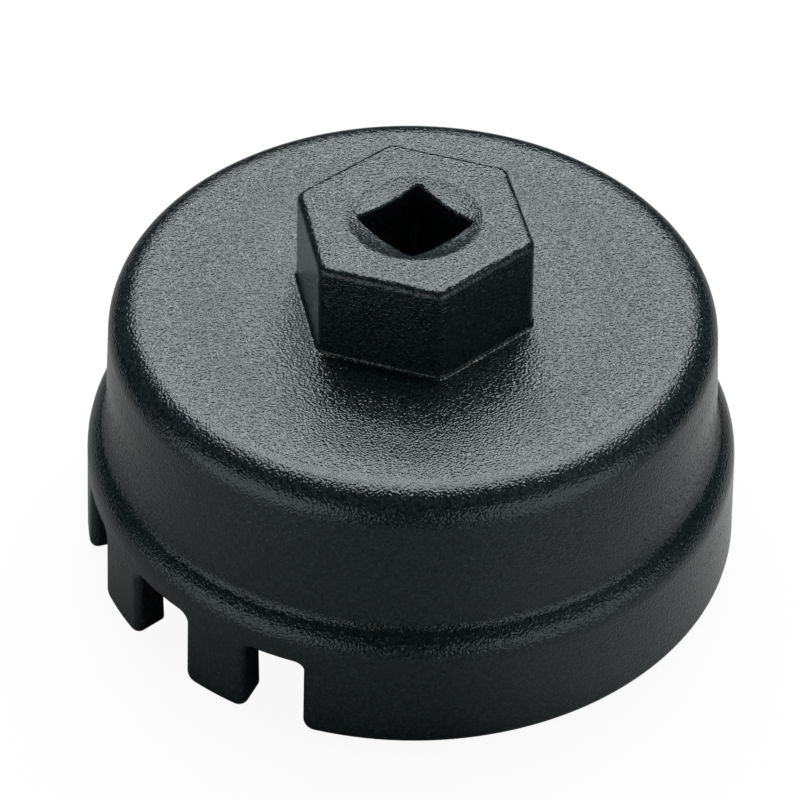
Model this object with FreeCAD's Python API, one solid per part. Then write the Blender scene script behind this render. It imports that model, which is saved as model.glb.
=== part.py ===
import FreeCAD, Part
import math
import os

# Cup wrench for the screw cap of a cartridge oil filter: one aluminium casting.
# Millimetres, +Z up.  The origin is the centre of the rim's lower plane, so the cup
# opens downwards and the drive boss is on top.  Two corners of the hex lie on the
# X axis.  The front of the wrench, with one group of rim notches, faces -X, and the
# same group is repeated on +X.  The casting is made whole, then divided at planes
# and at one cylinder into its named features, which meet face to face.

# ---- Drive boss ---------------------------------------------------------------
DRIVE_SQUARE = 9.65            # 3/8 inch female square drive
DRIVE_CORNER = 0.5             # rounding of the square's vertical corners
DRIVE_LEAD_IN = 0.8            # chamfer where the square opens into the cup
HEX_ACROSS_FLATS = 25.4        # 1 inch spanner size, at the top face
HEX_DRAFT = math.radians(0.75)
HEX_CORNER_RADIUS = 1.6
HEX_TOP_RADIUS = 1.0
HEX_BASE_RADIUS = 0.4
DISH_RADIUS = 7.95             # shallow bowl round the square
DISH_RIM_SLOPE = math.radians(23)
DISH_RIM_RADIUS = 1.0
DISH_MOUTH_RADIUS = 0.35

# ---- Heights --------------------------------------------------------------------
TOTAL_HEIGHT = 46.55
CUP_HEIGHT = 34.5              # at the shoulder, the highest ring of the cup
FOOT_HEIGHT = 34.0             # the top plate falls a little towards the hex
CEILING_HEIGHT = 29.0
LEDGE_TOP_HEIGHT = 16.3        # where the wall would meet the ledge's slope
LEDGE_EDGE_HEIGHT = 14.4       # where the slope would meet the skirt
STEP_HEIGHT = 11.9             # step between the skirt's bore and the fluted socket
NOTCH_HEIGHT = 10.1

# ---- Outside of the cup -----------------------------------------------------------
WALL_RADIUS_TOP = 36.0         # where the drafted wall would meet the top plate
FOOT_RADIUS = 12.0             # inside the hex, where the top plate stops falling
WALL_RADIUS_LEDGE = 37.2
SHOULDER_RADIUS = 4.2
LEDGE_ROOT_RADIUS = 1.5
LEDGE_EDGE_RADIUS = 4.3
SKIRT_RADIUS_LEDGE = 39.45
SKIRT_RADIUS_RIM = 40.05

# ---- Inside of the cup --------------------------------------------------------------
FLUTES = 14
FLUTE_ACROSS_FLATS = 64.5
FLUTE_CORNER_RADIUS = 2.0
CEILING_CORNER_RADIUS = 1.5
FLUTE_LEAD_IN_RADIUS = 34.2    # 45 degree lead-in cone, at the step
SKIRT_BORE_RADIUS = 35.9
STEP_CORNER_RADIUS = 0.6
RIM_CHAMFER_WIDTH = 0.5
RIM_CHAMFER_HEIGHT = 0.5

# ---- Notches in the rim -----------------------------------------------------------
MIDDLE_NOTCH_WIDTH = 8.6
SIDE_NOTCH_WIDTH = 7.15
SIDE_NOTCH_ANGLE = 24.45       # degrees from the middle notch
NOTCH_GROUP_ANGLES = (180, 0)  # front group, rear group
NOTCH_CORNER_RADIUS = 1.0
LUG_CORNER_RADIUS = 1.5
RIM_EDGE_RADIUS = 1.0          # all round the outside of the rim and the notches
BORE_EDGE_RADIUS = 0.2         # edges of the notches inside

# ---- Where the casting is divided -----------------------------------------------------
BOSS_SPLIT_RADIUS = 18.0
CROWN_SPLIT_HEIGHT = CEILING_HEIGHT - CEILING_CORNER_RADIUS
COLLAR_TOP_HEIGHT = 17.2
LUG_TOP_HEIGHT = 8.9

CLEARANCE = 5.0                # how far cutting solids run past what they cut
NEAR = 0.01                    # how close a point must be to count as on a surface

UP = FreeCAD.Vector(0, 0, 1)
ORIGIN = FreeCAD.Vector(0, 0, 0)


# ---- Geometry helpers ------------------------------------------------------------------
def rounded_wire(corners):
    """Closed wire through corners of (point, radius), each radius a tangent arc."""
    edges = []
    last = None
    first = None
    count = len(corners)
    for index, (corner, radius) in enumerate(corners):
        back = (corners[index - 1][0] - corner).normalize()
        ahead = (corners[(index + 1) % count][0] - corner).normalize()
        start = corner
        end = corner
        if radius:
            half_angle = back.getAngle(ahead) / 2
            reach = radius / math.tan(half_angle)
            start = corner + back * reach
            end = corner + ahead * reach
            inward = (back + ahead).normalize()
            middle = corner + inward * (radius / math.sin(half_angle) - radius)
        if last is not None:
            edges.append(Part.LineSegment(last, start).toShape())
        if radius:
            edges.append(Part.Arc(start, middle, end).toShape())
        first = first or start
        last = end
    edges.append(Part.LineSegment(last, first).toShape())
    return Part.Wire(edges)


def turned(profile):
    """Solid of revolution about Z from (radius, height, corner radius) points."""
    corners = [(FreeCAD.Vector(0, r, z), rounding) for r, z, rounding in profile]
    return Part.Face(rounded_wire(corners)).revolve(ORIGIN, UP, 360)


def polygon_points(sides, across_flats, height, first_angle=0.0):
    """Corners of a regular polygon, the first at first_angle degrees from +X."""
    radius = across_flats / 2 / math.cos(math.pi / sides)
    points = []
    for index in range(sides):
        angle = math.radians(first_angle) + 2 * math.pi * index / sides
        points.append(FreeCAD.Vector(radius * math.cos(angle), radius * math.sin(angle), height))
    return points


def prism(points, corner_radius, length):
    """Upright prism on a flat polygon with rounded vertical corners."""
    wire = rounded_wire([(point, corner_radius) for point in points])
    return Part.Face(wire).extrude(UP * length)


def frustum(lower, upper):
    """Solid with plane faces between two polygons, every face turned outwards."""
    faces = [
        Part.Face(Part.makePolygon(lower[::-1] + lower[-1:])),
        Part.Face(Part.makePolygon(upper + upper[:1])),
    ]
    count = len(lower)
    for index in range(count):
        after = (index + 1) % count
        side = [lower[index], lower[after], upper[after], upper[index], lower[index]]
        faces.append(Part.Face(Part.makePolygon(side)))
    return Part.makeSolid(Part.makeShell(faces))


def edges_where(shape, test):
    """Edges whose middle point (x, y, z) passes a test."""
    found = []
    for edge in shape.Edges:
        middle = edge.valueAt((edge.FirstParameter + edge.LastParameter) / 2)
        if test(middle.x, middle.y, middle.z):
            found.append(edge)
    return found


def slab(bottom, top):
    """Disc wider than the casting, between two heights."""
    radius = SKIRT_RADIUS_RIM + CLEARANCE
    return Part.makeCylinder(radius, top - bottom, FreeCAD.Vector(0, 0, bottom), UP)


# ---- Features of the casting ---------------------------------------------------------
def skirt_radius(height):
    """Outer radius of the drafted skirt at a height."""
    draft = (SKIRT_RADIUS_RIM - SKIRT_RADIUS_LEDGE) / LEDGE_EDGE_HEIGHT
    return SKIRT_RADIUS_RIM - draft * height


def cup_outside():
    """Skirt, ledge, drafted wall, rounded shoulder and top plate as one turned solid."""
    shoulder_start = WALL_RADIUS_TOP - SHOULDER_RADIUS
    plate_slope = (CUP_HEIGHT - FOOT_HEIGHT) / (shoulder_start - FOOT_RADIUS)
    return turned([
        (0, 0, 0),
        (SKIRT_RADIUS_RIM, 0, 0),
        (SKIRT_RADIUS_LEDGE, LEDGE_EDGE_HEIGHT, LEDGE_EDGE_RADIUS),
        (WALL_RADIUS_LEDGE, LEDGE_TOP_HEIGHT, LEDGE_ROOT_RADIUS),
        (WALL_RADIUS_TOP, CUP_HEIGHT + plate_slope * SHOULDER_RADIUS, SHOULDER_RADIUS),
        (FOOT_RADIUS, FOOT_HEIGHT, 0),
        (0, FOOT_HEIGHT, 0),
    ])


def skirt_bore():
    """Plain bore that slides over the filter cap's flange."""
    return turned([
        (0, -CLEARANCE, 0),
        (SKIRT_BORE_RADIUS, -CLEARANCE, 0),
        (SKIRT_BORE_RADIUS, STEP_HEIGHT, STEP_CORNER_RADIUS),
        (0, STEP_HEIGHT, 0),
    ])


def rim_chamfer():
    """Cone that opens the bore's mouth, run on below the rim."""
    slope = RIM_CHAMFER_WIDTH / RIM_CHAMFER_HEIGHT
    return turned([
        (0, -CLEARANCE, 0),
        (SKIRT_BORE_RADIUS + RIM_CHAMFER_WIDTH + slope * CLEARANCE, -CLEARANCE, 0),
        (SKIRT_BORE_RADIUS, RIM_CHAMFER_HEIGHT, 0),
        (0, RIM_CHAMFER_HEIGHT, 0),
    ])


def fluted_socket():
    """Fourteen-sided socket with its rounded ceiling edge and its lead-in cone."""
    points = polygon_points(FLUTES, FLUTE_ACROSS_FLATS, STEP_HEIGHT - CLEARANCE)
    socket = prism(points, FLUTE_CORNER_RADIUS, CEILING_HEIGHT - STEP_HEIGHT + CLEARANCE)
    ceiling_edges = edges_where(socket, lambda x, y, z: z > CEILING_HEIGHT - NEAR)
    socket = socket.makeFillet(CEILING_CORNER_RADIUS, ceiling_edges)
    narrow_radius = FLUTE_ACROSS_FLATS / 2 - STEP_CORNER_RADIUS
    narrow_height = STEP_HEIGHT + FLUTE_LEAD_IN_RADIUS - narrow_radius
    lead_in = turned([
        (0, STEP_HEIGHT - CLEARANCE, 0),
        (FLUTE_LEAD_IN_RADIUS, STEP_HEIGHT - CLEARANCE, 0),
        (FLUTE_LEAD_IN_RADIUS, STEP_HEIGHT, 0),
        (narrow_radius, narrow_height, 0),
        (0, narrow_height, 0),
    ])
    return socket.fuse(lead_in)


def notch(width, angle):
    """Square-cut notch with rounded upper corners, at an angle in degrees."""
    inner = SKIRT_BORE_RADIUS - CLEARANCE
    outer = SKIRT_RADIUS_RIM + CLEARANCE
    corners = [
        (FreeCAD.Vector(inner, -width / 2, -CLEARANCE), 0),
        (FreeCAD.Vector(inner, width / 2, -CLEARANCE), 0),
        (FreeCAD.Vector(inner, width / 2, NOTCH_HEIGHT), NOTCH_CORNER_RADIUS),
        (FreeCAD.Vector(inner, -width / 2, NOTCH_HEIGHT), NOTCH_CORNER_RADIUS),
    ]
    cutter = Part.Face(rounded_wire(corners)).extrude(FreeCAD.Vector(outer - inner, 0, 0))
    cutter.rotate(ORIGIN, UP, angle)
    return cutter


def all_notches():
    """Two groups of three notches."""
    notches = []
    for group_angle in NOTCH_GROUP_ANGLES:
        notches.append(notch(MIDDLE_NOTCH_WIDTH, group_angle))
        notches.append(notch(SIDE_NOTCH_WIDTH, group_angle - SIDE_NOTCH_ANGLE))
        notches.append(notch(SIDE_NOTCH_WIDTH, group_angle + SIDE_NOTCH_ANGLE))
    return notches


def hex_boss():
    """Drafted hex with rounded corners and top edge, standing on the cup's top."""
    base_height = FOOT_HEIGHT - HEX_BASE_RADIUS
    spread = 2 * (TOTAL_HEIGHT - base_height) * math.tan(HEX_DRAFT)
    lower = polygon_points(6, HEX_ACROSS_FLATS + spread, base_height)
    upper = polygon_points(6, HEX_ACROSS_FLATS, TOTAL_HEIGHT)
    boss = frustum(lower, upper)
    upright = edges_where(boss, lambda x, y, z: base_height + NEAR < z < TOTAL_HEIGHT - NEAR)
    boss = boss.makeFillet(HEX_CORNER_RADIUS, upright)
    top_edges = edges_where(boss, lambda x, y, z: z > TOTAL_HEIGHT - NEAR)
    return boss.makeFillet(HEX_TOP_RADIUS, top_edges)


def dish():
    """Sphere whose lowest part cuts a shallow bowl into the boss's top face."""
    radius = DISH_RADIUS / math.sin(DISH_RIM_SLOPE)
    height = TOTAL_HEIGHT + DISH_RADIUS / math.tan(DISH_RIM_SLOPE)
    return Part.makeSphere(radius, FreeCAD.Vector(0, 0, height))


def drive_hole():
    """Square hole through the boss, with a lead-in at its lower mouth."""
    points = polygon_points(4, DRIVE_SQUARE, CEILING_HEIGHT - CLEARANCE, 45)
    height = TOTAL_HEIGHT - CEILING_HEIGHT + 2 * CLEARANCE
    hole = prism(points, DRIVE_CORNER, height)
    mouth = DRIVE_SQUARE + 2 * DRIVE_LEAD_IN
    lower = polygon_points(4, mouth + 2 * CLEARANCE, CEILING_HEIGHT - CLEARANCE, 45)
    upper = polygon_points(4, DRIVE_SQUARE, CEILING_HEIGHT + DRIVE_LEAD_IN, 45)
    return hole.fuse(frustum(lower, upper))


def with_round_lug_corners(cup):
    """Round the lower corners of the lugs, where the notch sides meet the rim plane."""
    def on_rim_plane_beside_a_notch(x, y, z):
        radius = math.hypot(x, y)
        between_circles = SKIRT_BORE_RADIUS + NEAR < radius < SKIRT_RADIUS_RIM - NEAR
        return abs(z) < NEAR and between_circles

    return cup.makeFillet(LUG_CORNER_RADIUS, edges_where(cup, on_rim_plane_beside_a_notch))


def with_round_rim(cup):
    """Round the outer edge all the way along the rim and round the notches."""
    def on_outer_edge(x, y, z):
        on_skirt = abs(math.hypot(x, y) - skirt_radius(z)) < NEAR
        on_seam = z > NEAR and abs(x) < NEAR
        return on_skirt and not on_seam and z < NOTCH_HEIGHT + NEAR

    return cup.makeFillet(RIM_EDGE_RADIUS, edges_where(cup, on_outer_edge))


def with_round_bore_edges(cup):
    """Break the notches' edges on the bore and on its chamfer."""
    def on_inner_edge(x, y, z):
        widening = RIM_CHAMFER_WIDTH * max(0, 1 - z / RIM_CHAMFER_HEIGHT)
        on_bore = abs(math.hypot(x, y) - SKIRT_BORE_RADIUS - widening) < NEAR
        on_circle = z < NEAR or abs(z - RIM_CHAMFER_HEIGHT) < NEAR
        on_seam = abs(x) < NEAR
        return on_bore and not on_circle and not on_seam and z < NOTCH_HEIGHT + NEAR

    return cup.makeFillet(BORE_EDGE_RADIUS, edges_where(cup, on_inner_edge))


def skirted_cup():
    """The cup with its bore, its notches and the rounding round its rim."""
    cup = cup_outside().cut(skirt_bore())
    cup = cup.cut(all_notches())
    cup = with_round_lug_corners(cup)
    cup = cup.cut(rim_chamfer())
    cup = with_round_rim(cup)
    return with_round_bore_edges(cup)


def with_drive(cup):
    """Add the hex boss with its base fillet, its dish and its square hole."""
    def on_hex_base(x, y, z):
        return FOOT_HEIGHT < z < CUP_HEIGHT and math.hypot(x, y) < BOSS_SPLIT_RADIUS

    def on_dish_rim(x, y, z):
        return abs(z - TOTAL_HEIGHT) < NEAR and abs(math.hypot(x, y) - DISH_RADIUS) < NEAR

    def on_dish_mouth(x, y, z):
        in_square = max(abs(x), abs(y)) < DRIVE_SQUARE / 2 + NEAR
        return in_square and TOTAL_HEIGHT - DISH_RADIUS < z < TOTAL_HEIGHT

    body = cup.fuse(hex_boss())
    body = body.makeFillet(HEX_BASE_RADIUS, edges_where(body, on_hex_base))
    body = body.cut(dish())
    body = body.makeFillet(DISH_RIM_RADIUS, edges_where(body, on_dish_rim))
    body = body.cut(drive_hole())
    return body.makeFillet(DISH_MOUTH_RADIUS, edges_where(body, on_dish_mouth))


def casting():
    """The whole wrench as one solid."""
    return with_drive(skirted_cup()).cut(fluted_socket())


# ---- Nodes: the casting divided into its features ---------------------------------------
def boss_core():
    """Cylinder that holds the drive boss and the top plate under it."""
    height = TOTAL_HEIGHT - CROWN_SPLIT_HEIGHT + CLEARANCE
    base = FreeCAD.Vector(0, 0, CROWN_SPLIT_HEIGHT)
    return Part.makeCylinder(BOSS_SPLIT_RADIUS, height, base, UP)


def drive_boss(body):
    """Hex, dish and square hole, with the middle of the top plate."""
    return body.common(boss_core())


def crown(body):
    """Top plate round the boss, the shoulder and the upper end of the flutes."""
    return body.common(slab(CROWN_SPLIT_HEIGHT, CUP_HEIGHT + CLEARANCE)).cut(boss_core())


def fluted_wall(body):
    """Drafted wall with the fourteen flats inside."""
    return body.common(slab(COLLAR_TOP_HEIGHT, CROWN_SPLIT_HEIGHT))


def skirt_collar(body):
    """Ledge, inner step and the closed upper part of the skirt."""
    return body.common(slab(LUG_TOP_HEIGHT, COLLAR_TOP_HEIGHT))


def rim_piece(body, at):
    """The rim segment between two notches that holds a direction in degrees."""
    segments = body.common(slab(-CLEARANCE, LUG_TOP_HEIGHT)).Solids
    radius = (SKIRT_BORE_RADIUS + SKIRT_RADIUS_RIM) / 2
    angle = math.radians(at)
    place = FreeCAD.Vector(radius * math.cos(angle), radius * math.sin(angle), LUG_TOP_HEIGHT / 2)
    return [segment for segment in segments if segment.isInside(place, NEAR, True)][0]


# Directions in degrees.  Seen from the front, looking along +X, left is +Y.
LUG_OFFSET = SIDE_NOTCH_ANGLE / 2
RIM_PIECES = {
    "front_lug_left": 180 - LUG_OFFSET,
    "front_lug_right": 180 + LUG_OFFSET,
    "rear_lug_left": LUG_OFFSET,
    "rear_lug_right": -LUG_OFFSET,
    "left_rim": 90,
    "right_rim": -90,
}


def export(name, shape):
    """Write one node, a single closed solid, as STEP."""
    solid = shape.Solids[0]
    print(f"{name}: {len(shape.Solids)} solid, valid {solid.isValid()}, {solid.Volume:.1f} mm3")
    solid.exportStep(f"parts/{name}.step")


os.makedirs("parts", exist_ok=True)
wrench = casting()
print(f"casting: {len(wrench.Solids)} solid, valid {wrench.isValid()}, {wrench.Volume:.1f} mm3")
export("drive_boss", drive_boss(wrench))
export("crown", crown(wrench))
export("fluted_wall", fluted_wall(wrench))
export("skirt_collar", skirt_collar(wrench))
for name, direction in RIM_PIECES.items():
    export(name, rim_piece(wrench, direction))
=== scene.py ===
import math

import bpy
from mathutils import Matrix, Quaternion, Vector

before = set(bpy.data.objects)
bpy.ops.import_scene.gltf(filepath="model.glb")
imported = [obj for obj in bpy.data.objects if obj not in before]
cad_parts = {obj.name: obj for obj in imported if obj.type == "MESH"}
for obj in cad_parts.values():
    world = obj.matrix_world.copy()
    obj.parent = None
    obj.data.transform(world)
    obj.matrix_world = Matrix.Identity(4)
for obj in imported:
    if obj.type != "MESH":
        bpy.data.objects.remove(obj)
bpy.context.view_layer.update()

# Studio scene for the cup-type oil filter wrench.  Metres, in the frame of the CAD model:
# the rim stands on z = 0, the drive boss points up and the front notches face -X.

# ---- Camera -----------------------------------------------------------------------------------
CAMERA_AZIMUTH = math.radians(-42.2)
CAMERA_ELEVATION = math.radians(41.36)
CAMERA_DISTANCE = 0.430
CAMERA_ROLL = math.radians(0.88)
CAMERA_LENS_MM = 159.4
CAMERA_SENSOR_MM = 36.0
CAMERA_CLIP = (0.01, 20.0)
AIM_HEIGHT = 0.0181            # height on the drive axis that the camera and the lamps aim at
AIM_SHIFT = -0.00143           # sideways from the drive axis, to the camera's right


def camera_axes():
    """Unit vectors from the object to the camera and to the camera's right."""
    level = math.cos(CAMERA_ELEVATION)
    back = Vector((
        math.sin(CAMERA_AZIMUTH) * level,
        -math.cos(CAMERA_AZIMUTH) * level,
        math.sin(CAMERA_ELEVATION),
    ))
    right = Vector((math.cos(CAMERA_AZIMUTH), math.sin(CAMERA_AZIMUTH), 0))
    return back, right


def make_camera():
    back, right = camera_axes()
    camera = bpy.data.objects.new("camera", bpy.data.cameras.new("camera"))
    bpy.context.scene.collection.objects.link(camera)
    camera.data.lens = CAMERA_LENS_MM
    camera.data.sensor_width = CAMERA_SENSOR_MM
    camera.data.clip_start, camera.data.clip_end = CAMERA_CLIP
    aim = Vector((0, 0, AIM_HEIGHT)) + right * AIM_SHIFT
    camera.location = aim + back * CAMERA_DISTANCE
    camera.rotation_mode = "QUATERNION"
    level_view = (-back).to_track_quat("-Z", "Y")
    camera.rotation_quaternion = level_view @ Quaternion((0, 0, 1), CAMERA_ROLL)
    bpy.context.scene.camera = camera


# ---- Node helpers -----------------------------------------------------------------------------
def new_material(name):
    """Empty node material and its output node."""
    material = bpy.data.materials.new(name)
    material.use_nodes = True
    material.node_tree.nodes.clear()
    return material, material.node_tree.nodes.new("ShaderNodeOutputMaterial")


def noise(tree, scale, detail, coordinates):
    node = tree.nodes.new("ShaderNodeTexNoise")
    node.inputs["Scale"].default_value = scale
    node.inputs["Detail"].default_value = detail
    tree.links.new(coordinates, node.inputs["Vector"])
    return node.outputs["Fac"]


def remap(tree, value, low, high, new_low, new_high):
    """Straight line from (low, new_low) to (high, new_high), held level beyond both ends."""
    node = tree.nodes.new("ShaderNodeMapRange")
    node.inputs["From Min"].default_value = low
    node.inputs["From Max"].default_value = high
    node.inputs["To Min"].default_value = new_low
    node.inputs["To Max"].default_value = new_high
    tree.links.new(value, node.inputs["Value"])
    return node.outputs["Result"]


def multiply_add(tree, first, second, offset):
    node = tree.nodes.new("ShaderNodeMath")
    node.operation = "MULTIPLY_ADD"
    node.inputs[2].default_value = offset
    tree.links.new(first, node.inputs[0])
    tree.links.new(second, node.inputs[1])
    return node.outputs["Value"]


def bump(tree, height, distance, normal=None):
    node = tree.nodes.new("ShaderNodeBump")
    node.inputs["Strength"].default_value = 1.0
    node.inputs["Distance"].default_value = distance
    tree.links.new(height, node.inputs["Height"])
    if normal is not None:
        tree.links.new(normal, node.inputs["Normal"])
    return node.outputs["Normal"]


def mix_colour(tree, factor, first, second):
    node = tree.nodes.new("ShaderNodeMix")
    node.data_type = "RGBA"
    node.inputs["A"].default_value = (*first, 1)
    node.inputs["B"].default_value = (*second, 1)
    tree.links.new(factor, node.inputs["Factor"])
    return node.outputs["Result"]


def add_shaders(tree, first, second):
    node = tree.nodes.new("ShaderNodeAddShader")
    tree.links.new(first.outputs[0], node.inputs[0])
    tree.links.new(second.outputs[0], node.inputs[1])
    return node


def by_viewer(tree, for_light, for_camera):
    """One shader for light and reflections, another where the camera looks at it directly."""
    light_path = tree.nodes.new("ShaderNodeLightPath")
    node = tree.nodes.new("ShaderNodeMixShader")
    tree.links.new(light_path.outputs["Is Camera Ray"], node.inputs["Fac"])
    tree.links.new(for_light.outputs[0], node.inputs[1])
    tree.links.new(for_camera.outputs[0], node.inputs[2])
    return node


# ---- Powder coat ------------------------------------------------------------------------------
COAT_PIT = (0.0020, 0.0050, 0.0060)
COAT_CREST = (0.0140, 0.0230, 0.0250)
COAT_SHEEN_TINT = (0.90, 1.0, 1.02)
COAT_ROUGHNESS = (0.06, 0.10)  # within one facet of the grain
COAT_IOR = 1.5
NOISE_SPREAD = (0.3, 0.7)      # the part of a noise's range that is used

# Noise patterns: cells per metre and detail; bumps: depth in metres.
GRAIN = (3700, 0.5)
GRAIN_DEPTH = 0.0001
RIPPLE = (900, 1.0)
RIPPLE_DEPTH = 0.00001
FLECK = (2200, 1.0)


def powder_coat():
    """Black powder coat: glossy facets a few tenths of a millimetre across, tilted every way."""
    material, output = new_material("black_powder_coat")
    tree = material.node_tree
    coordinates = tree.nodes.new("ShaderNodeTexCoord").outputs["Object"]
    grain = noise(tree, *GRAIN, coordinates)
    ripple = noise(tree, *RIPPLE, coordinates)
    fleck = noise(tree, *FLECK, coordinates)

    shader = tree.nodes.new("ShaderNodeBsdfPrincipled")
    shade = remap(tree, fleck, *NOISE_SPREAD, 0, 1)
    tree.links.new(mix_colour(tree, shade, COAT_PIT, COAT_CREST), shader.inputs["Base Color"])
    rough = remap(tree, grain, *NOISE_SPREAD, *COAT_ROUGHNESS)
    tree.links.new(rough, shader.inputs["Roughness"])
    shader.inputs["IOR"].default_value = COAT_IOR
    shader.inputs["Specular Tint"].default_value = (*COAT_SHEEN_TINT, 1)
    waves = bump(tree, ripple, RIPPLE_DEPTH)
    tree.links.new(bump(tree, grain, GRAIN_DEPTH, waves), shader.inputs["Normal"])
    tree.links.new(shader.outputs["BSDF"], output.inputs["Surface"])
    return material


# ---- Floor ------------------------------------------------------------------------------------
FLOOR_SIZE = 6.0

# What the camera sees.
FLOOR_SEEN = 0.93              # white of the floor before the lamps add to it
FLOOR_SEEN_ALBEDO = 0.06
CUP_SHADE = (0.016, 0.027)     # radii over which the floor inside the cup comes out of the shade
SHADE_SEEN = 0.02

# What the wrench reflects: a white sheet round the drive axis, on a dim floor.
FLOOR_ALBEDO = 0.01
SHEET_EDGE = (0.12, 0.15)      # radii over which the sheet fades into the dim floor
PAINTED_LIGHT_SPAN = (-0.06, 0.06)     # distances to the camera's right over which the sheet turns lighter: painted light on its right side
# The sheet's own grey on the left, and lighter on the right with painted light
SHEET_ALBEDO_WITH_PAINTED_LIGHT = (0.24, 0.27)
SHEET_GLOW = 0.22              # extra light on the sheet, close to the wrench and on its right
GLOW_SIDE = (0.005, 0.028)     # distances to the camera's right over which the glow starts
GLOW_EDGE = (0.045, 0.075)     # radii over which the glow ends


def reflected_floor(tree, radius, sideways):
    # The sheet's grey rises towards the camera's right: painted light standing for uneven lamp
    # light
    sheet = remap(tree, sideways, *PAINTED_LIGHT_SPAN, *SHEET_ALBEDO_WITH_PAINTED_LIGHT)
    edge = remap(tree, radius, *SHEET_EDGE, 1, 0)
    diffuse = tree.nodes.new("ShaderNodeBsdfDiffuse")
    tree.links.new(multiply_add(tree, sheet, edge, FLOOR_ALBEDO), diffuse.inputs["Color"])
    right_side = remap(tree, sideways, *GLOW_SIDE, 0, SHEET_GLOW)
    near = remap(tree, radius, *GLOW_EDGE, 1, 0)
    fill = tree.nodes.new("ShaderNodeEmission")
    tree.links.new(multiply_add(tree, right_side, near, 0), fill.inputs["Strength"])
    return add_shaders(tree, diffuse, fill)


def seen_floor(tree, radius):
    glow = tree.nodes.new("ShaderNodeEmission")
    under_cup = remap(tree, radius, *CUP_SHADE, SHADE_SEEN, FLOOR_SEEN)
    tree.links.new(under_cup, glow.inputs["Strength"])
    shade = tree.nodes.new("ShaderNodeBsdfDiffuse")
    shade.inputs["Color"].default_value = (FLOOR_SEEN_ALBEDO,) * 3 + (1,)
    return add_shaders(tree, glow, shade)


def floor_material():
    """Near white to the camera; in reflections, a lit white sheet on a dim floor."""
    material, output = new_material("white_sweep")
    tree = material.node_tree
    coordinates = tree.nodes.new("ShaderNodeTexCoord").outputs["Object"]
    radius = tree.nodes.new("ShaderNodeVectorMath")
    radius.operation = "LENGTH"
    tree.links.new(coordinates, radius.inputs[0])
    sideways = tree.nodes.new("ShaderNodeVectorMath")
    sideways.operation = "DOT_PRODUCT"
    sideways.inputs[1].default_value = camera_axes()[1]
    tree.links.new(coordinates, sideways.inputs[0])
    reflected = reflected_floor(tree, radius.outputs["Value"], sideways.outputs["Value"])
    seen = seen_floor(tree, radius.outputs["Value"])
    surface = by_viewer(tree, reflected, seen)
    tree.links.new(surface.outputs[0], output.inputs["Surface"])
    return material


def make_floor():
    mesh = bpy.data.meshes.new("floor")
    half = FLOOR_SIZE / 2
    corners = [(-half, -half, 0), (half, -half, 0), (half, half, 0), (-half, half, 0)]
    mesh.from_pydata(corners, [], [(0, 1, 2, 3)])
    mesh.materials.append(floor_material())
    floor = bpy.data.objects.new("floor", mesh)
    bpy.context.scene.collection.objects.link(floor)


# ---- World ------------------------------------------------------------------------------------
BACKGROUND_WHITE = 1.0
ROOM_GREY = (0.05, 0.05, 0.05)


def background(tree, colour, strength):
    node = tree.nodes.new("ShaderNodeBackground")
    node.inputs["Color"].default_value = (*colour, 1)
    node.inputs["Strength"].default_value = strength
    return node


def make_world():
    """White behind the wrench, a dim even grey in its reflections."""
    world = bpy.data.worlds.new("studio")
    bpy.context.scene.world = world
    world.use_nodes = True
    tree = world.node_tree
    tree.nodes.clear()
    output = tree.nodes.new("ShaderNodeOutputWorld")
    room = background(tree, ROOM_GREY, 1)
    backdrop = background(tree, (1, 1, 1), BACKGROUND_WHITE)
    surface = by_viewer(tree, room, backdrop)
    tree.links.new(surface.outputs[0], output.inputs["Surface"])


# ---- Lamps ------------------------------------------------------------------------------------
# Azimuth and elevation in degrees, distance, width, height, radiance.  Azimuths are measured
# from the camera, positive towards its right, so 180 is behind the wrench.
MAIN_LAMP = (175, 58.5, 1.0, 1.16, 1.06, 4.95)
MAIN_STRIPS = 4
MAIN_FILL = 0.6                # lit share of the main lamp's height
RIGHT_FILL = (75, 45, 0.9, 0.80, 0.50, 0.18)
CARDS = [("left_card", -48), ("right_card", 46)]
CARD_NEAR, CARD_FAR = (0.11, 0.004), (0.90, 0.40)   # radius and height of a card's two ends
CARD_WIDTH = 0.42
CARD_RADIANCE = 1.22


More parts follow.
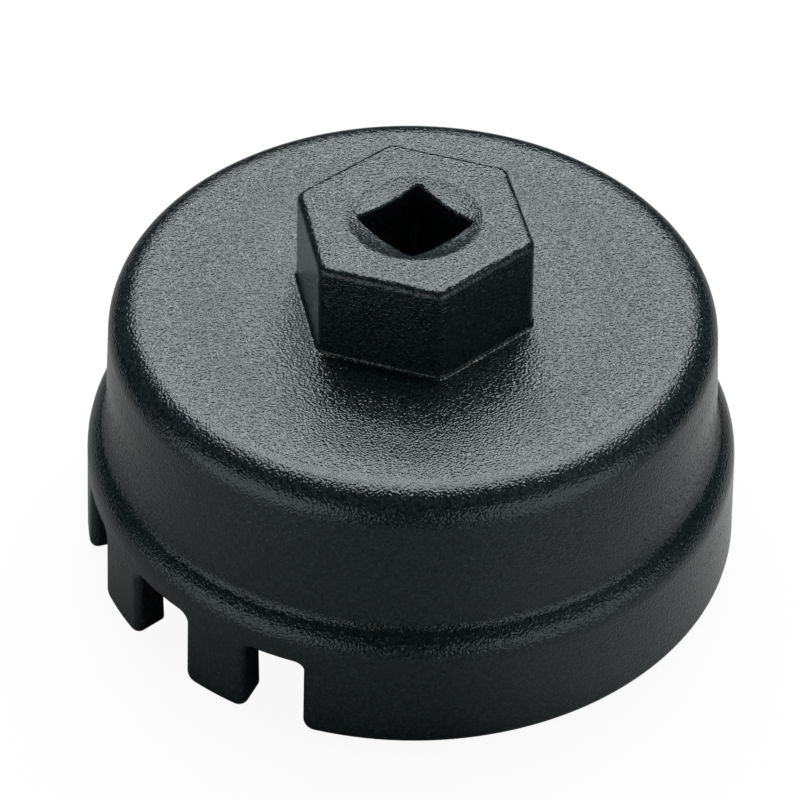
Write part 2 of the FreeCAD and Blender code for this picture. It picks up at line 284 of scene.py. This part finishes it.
def area_lamp(name, shape, centre, facing, width, height, radiance):
    """Flat lamp of a given radiance; its width is level and its height runs upwards."""
    lamp = bpy.data.lights.new(name, "AREA")
    lamp.shape = shape
    lamp.size = width
    lamp.size_y = height
    area = width * height * (math.pi / 4 if shape == "ELLIPSE" else 1)
    lamp.energy = radiance * math.pi * area
    holder = bpy.data.objects.new(name, lamp)
    bpy.context.scene.collection.objects.link(holder)
    holder.location = centre
    holder.rotation_euler = (-facing).to_track_quat("Z", "Y").to_euler()


def direction(azimuth, elevation):
    angle = CAMERA_AZIMUTH + math.radians(azimuth)
    level = math.cos(math.radians(elevation))
    return Vector((
        math.sin(angle) * level,
        -math.cos(angle) * level,
        math.sin(math.radians(elevation)),
    ))


def make_main_lamp():
    """Bank of level strips behind and above the wrench."""
    azimuth, elevation, distance, width, height, radiance = MAIN_LAMP
    outward = direction(azimuth, elevation)
    up = direction(azimuth, elevation + 90)
    pitch = height / MAIN_STRIPS
    for number in range(MAIN_STRIPS):
        offset = (number - (MAIN_STRIPS - 1) / 2) * pitch
        centre = outward * distance + up * offset + Vector((0, 0, AIM_HEIGHT))
        name = f"main_strip_{number + 1}"
        lit_height = pitch * MAIN_FILL
        area_lamp(name, "RECTANGLE", centre, -outward, width, lit_height, radiance / MAIN_FILL)


def make_right_fill():
    azimuth, elevation, distance, width, height, radiance = RIGHT_FILL
    outward = direction(azimuth, elevation)
    centre = outward * distance + Vector((0, 0, AIM_HEIGHT))
    area_lamp("right_fill", "RECTANGLE", centre, -outward, width, height, radiance)


def make_cards():
    """Leaning white cards that start low in front of the wrench, on both sides."""
    run = CARD_FAR[0] - CARD_NEAR[0]
    rise = CARD_FAR[1] - CARD_NEAR[1]
    lean = math.degrees(math.atan2(rise, run))
    for name, azimuth in CARDS:
        middle = direction(azimuth, 0) * (CARD_NEAR[0] + run / 2)
        middle.z = CARD_NEAR[1] + rise / 2
        facing = direction(azimuth, lean + 90)
        length = math.hypot(run, rise)
        area_lamp(name, "ELLIPSE", middle, facing, CARD_WIDTH, length, CARD_RADIANCE)


# ---- Scene ------------------------------------------------------------------------------------
make_camera()
make_world()
make_floor()
make_main_lamp()
make_right_fill()
make_cards()
bpy.context.scene.view_settings.view_transform = "Standard"

coat = powder_coat()
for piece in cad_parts.values():
    for material_slot in piece.material_slots:
        material_slot.material = coat
